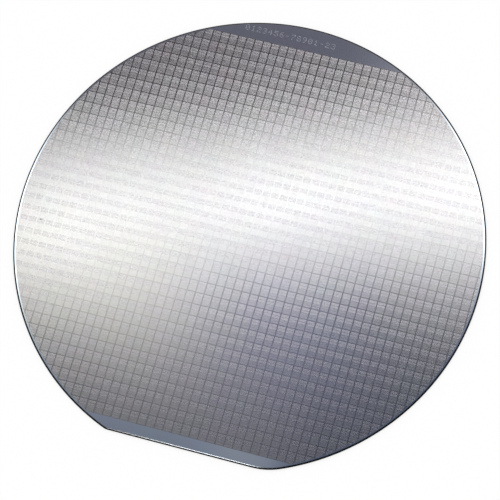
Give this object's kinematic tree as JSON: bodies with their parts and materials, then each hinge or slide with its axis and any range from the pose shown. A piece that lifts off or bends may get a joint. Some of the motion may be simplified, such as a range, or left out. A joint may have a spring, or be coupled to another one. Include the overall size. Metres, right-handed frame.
{
  "type": "silicon wafer",
  "caption": "Thin round silicon wafer with one ground flat, bevelled and rounded rim, and rows of small rectangular chips on its front face.",
  "frame": {"origin": "centre of the round rim, on the back face", "axes": "+Z out of the front face, +X along the rows of chips and the flat, the flat at -Y"},
  "size_m": [0.125, 0.1212, 0.0006],
  "materials": {
    "silicon": "polished slate-blue crystal, bare on the rim and in the two mark zones, with a fine matte etched back",
    "chip_film": "satin grey metal film cut into chips by thin dark streets, with faint pink, green and blue casts"
  },
  "bodies": {
    "root": {"wafer": "silicon"}
  },
  "joints": []
}
